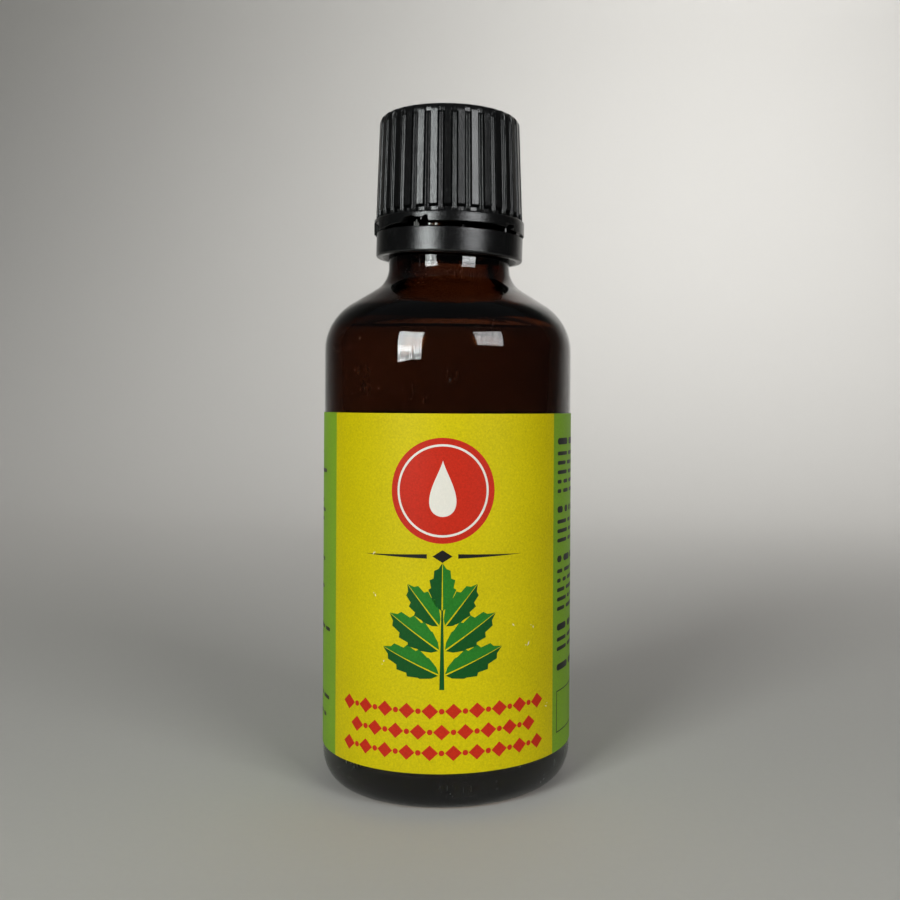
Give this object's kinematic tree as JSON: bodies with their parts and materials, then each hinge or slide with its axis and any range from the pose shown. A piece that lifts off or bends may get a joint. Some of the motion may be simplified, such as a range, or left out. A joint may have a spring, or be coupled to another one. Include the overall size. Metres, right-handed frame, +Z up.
{
  "type": "amber glass tincture bottle",
  "caption": "Small round amber glass bottle with a dropper insert, a ribbed tamper-evident screw cap that unscrews, a loose tamper ring and a wrap-around paper label.",
  "frame": {"origin": "centre of the foot, on the surface that the bottle stands on", "axes": "+Z up the bottle's axis, the front of the label towards -Y, +X to the right as seen from the front"},
  "size_m": [0.037, 0.037, 0.098],
  "materials": {
    "amber_glass": "polished",
    "tincture": "gloss",
    "label_paper": "satin",
    "black_plastic": "satin",
    "liner_foam": "matte"
  },
  "bodies": {
    "bottle": {"glass_bottle": "amber_glass", "tincture": "tincture", "label": "label_paper", "dropper_insert": "black_plastic", "tamper_ring": "black_plastic"},
    "liner": {"cap_liner": "liner_foam"},
    "cap": {"screw_cap": "black_plastic"}
  },
  "joints": [
    {"name": "cap_rise", "type": "slide", "parent": "bottle", "child": "liner", "axis": [0, 0, 1], "range_m": [0, 0.00501]},
    {"name": "cap_turn", "type": "hinge", "parent": "liner", "child": "cap", "pos_m": [0, 0, 0.09], "axis": [0, 0, 1], "range_deg": [0, 600]}
  ],
  "couplings": [
    {"joint": "cap_rise", "follows": "cap_turn", "m_per_rad": 0.00047746}
  ]
}
